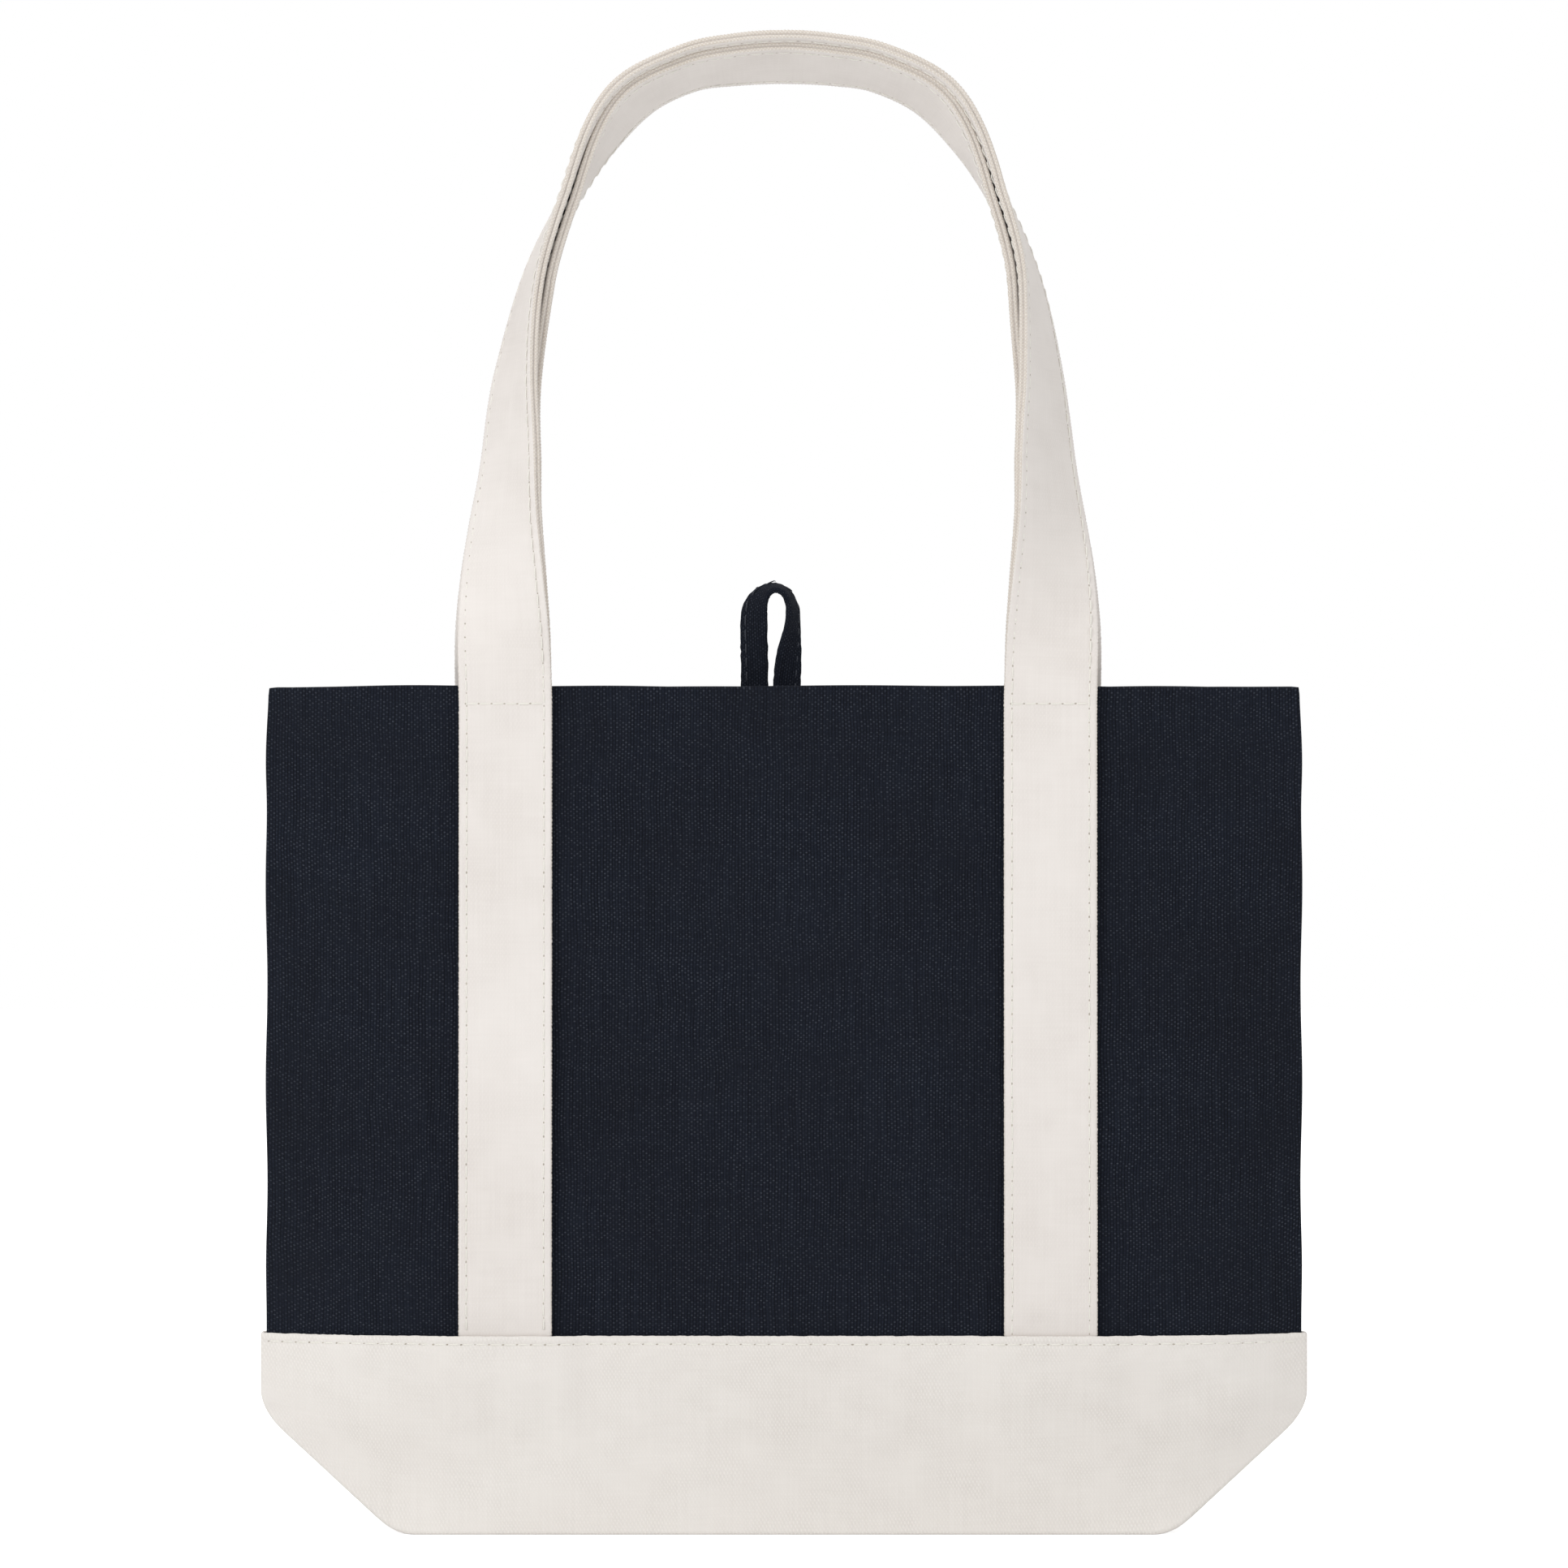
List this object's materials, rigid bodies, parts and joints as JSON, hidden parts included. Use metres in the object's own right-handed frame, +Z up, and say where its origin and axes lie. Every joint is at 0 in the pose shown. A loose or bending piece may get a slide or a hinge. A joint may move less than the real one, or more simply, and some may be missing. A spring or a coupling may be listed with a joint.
{
  "type": "canvas tote bag",
  "caption": "Two-tone canvas tote bag with a boxed bottom, sewn strap handles that turn down, and a hanging loop inside the rim, standing half open.",
  "frame": {"origin": "on the floor under the middle of the bag's bounding box", "axes": "+Z up, the front panel faces -Y, +X to the right seen from the front"},
  "size_m": [0.3486, 0.0478, 0.4942],
  "materials": {
    "navy_canvas": "matte plain-weave cotton duck",
    "cream_canvas": "matte plain-weave cotton duck"
  },
  "bodies": {
    "bag": {"front_panel": "navy_canvas", "back_panel": "navy_canvas", "front_base": "cream_canvas", "back_base": "cream_canvas", "front_strap_left": "cream_canvas", "front_strap_right": "cream_canvas", "back_strap_left": "cream_canvas", "back_strap_right": "cream_canvas", "left_side_seam_binding": "navy_canvas", "right_side_seam_binding": "navy_canvas", "bottom_seam_binding": "navy_canvas", "left_corner_seam_binding": "navy_canvas", "right_corner_seam_binding": "navy_canvas", "loop_end_left": "navy_canvas", "loop_end_right": "navy_canvas"},
    "front_handle": {"front_handle": "cream_canvas"},
    "back_handle": {"back_handle": "cream_canvas"},
    "hanging_loop": {"hanging_loop": "navy_canvas"}
  },
  "joints": [
    {"name": "front_handle_hinge", "type": "hinge", "parent": "bag", "child": "front_handle", "pos_m": [0, -0.01792, 0.2755], "axis": [1, 0, 0], "range_deg": [0, 168]},
    {"name": "back_handle_hinge", "type": "hinge", "parent": "bag", "child": "back_handle", "pos_m": [0, 0.01792, 0.2755], "axis": [-1, 0, 0], "range_deg": [0, 168]},
    {"name": "hanging_loop_hinge", "type": "hinge", "parent": "bag", "child": "hanging_loop", "pos_m": [-0.0045, 0.0102, 0.2823], "axis": [1, 0, 0], "range_deg": [-85, 75]}
  ]
}
